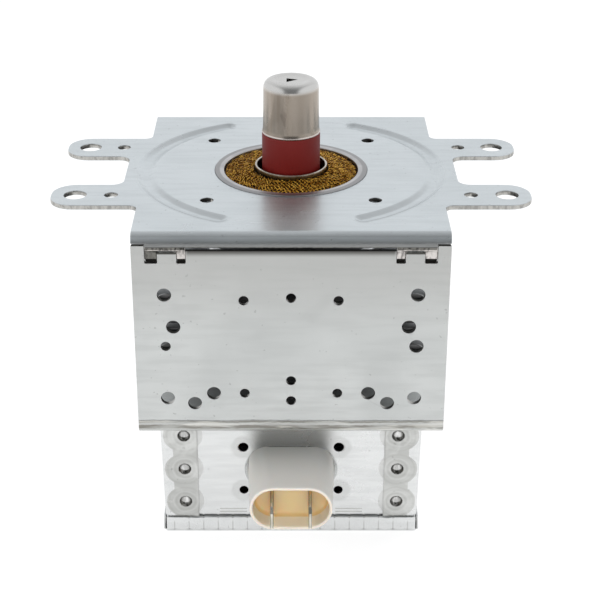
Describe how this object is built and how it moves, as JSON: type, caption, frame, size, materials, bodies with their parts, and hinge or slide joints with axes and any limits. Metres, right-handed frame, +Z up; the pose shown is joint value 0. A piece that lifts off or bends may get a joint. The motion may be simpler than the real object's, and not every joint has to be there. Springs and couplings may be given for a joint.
{
  "type": "microwave oven magnetron",
  "caption": "Microwave oven magnetron: capped antenna and wire-mesh gasket on an eared yoke plate, folded magnet frame with cooling fins, filter box with two-blade supply socket.",
  "frame": {"origin": "on the antenna's axis, at the underside of the filter box's lid", "axes": "+Z up along the antenna, -Y towards the supply socket, +X to the right along the ears"},
  "size_m": [0.12, 0.1059, 0.1106],
  "materials": {
    "zinc_steel": "satin",
    "aluminised_sheet": "bright",
    "plain_steel": "satin",
    "nickelled_steel": "satin",
    "copper": "satin",
    "aluminium": "satin",
    "ferrite": "matt",
    "tungsten": "matt",
    "brass_mesh": "knitted wire",
    "pink_ceramic": "matt",
    "capacitor_ceramic": "satin",
    "cream_plastic": "satin",
    "tinned_brass": "bright"
  },
  "bodies": {
    "root": {"yoke_plate": "zinc_steel", "yoke_frame": "zinc_steel", "filter_box": "aluminised_sheet", "filter_box_lid": "aluminised_sheet", "output_neck": "plain_steel", "cathode_neck": "plain_steel", "gasket_ring": "plain_steel", "upper_pole_piece": "plain_steel", "lower_pole_piece": "plain_steel", "capacitor_plate": "plain_steel", "antenna_cap": "nickelled_steel", "anode_cylinder": "copper", "exhaust_tube": "copper", "antenna_lead": "copper", "choke_coil_left": "copper", "choke_coil_right": "copper", "vane_01": "copper", "vane_02": "copper", "vane_03": "copper", "vane_04": "copper", "vane_05": "copper", "vane_06": "copper", "vane_07": "copper", "vane_08": "copper", "vane_09": "copper", "vane_10": "copper", "upper_inner_strap": "copper", "upper_outer_strap": "copper", "lower_inner_strap": "copper", "lower_outer_strap": "copper", "cooling_fin_1": "aluminium", "cooling_fin_2": "aluminium", "cooling_fin_3": "aluminium", "cooling_fin_4": "aluminium", "cooling_fin_5": "aluminium", "upper_magnet": "ferrite", "lower_magnet": "ferrite", "ferrite_rod_left": "ferrite", "ferrite_rod_right": "ferrite", "filament": "tungsten", "upper_end_hat": "tungsten", "lower_end_hat": "tungsten", "centre_lead": "tungsten", "side_lead": "tungsten", "rf_gasket": "brass_mesh", "output_ceramic": "pink_ceramic", "stem_ceramic": "pink_ceramic", "capacitor_body": "capacitor_ceramic", "connector_housing": "cream_plastic", "blade_left": "tinned_brass", "blade_right": "tinned_brass"}
  },
  "joints": []
}
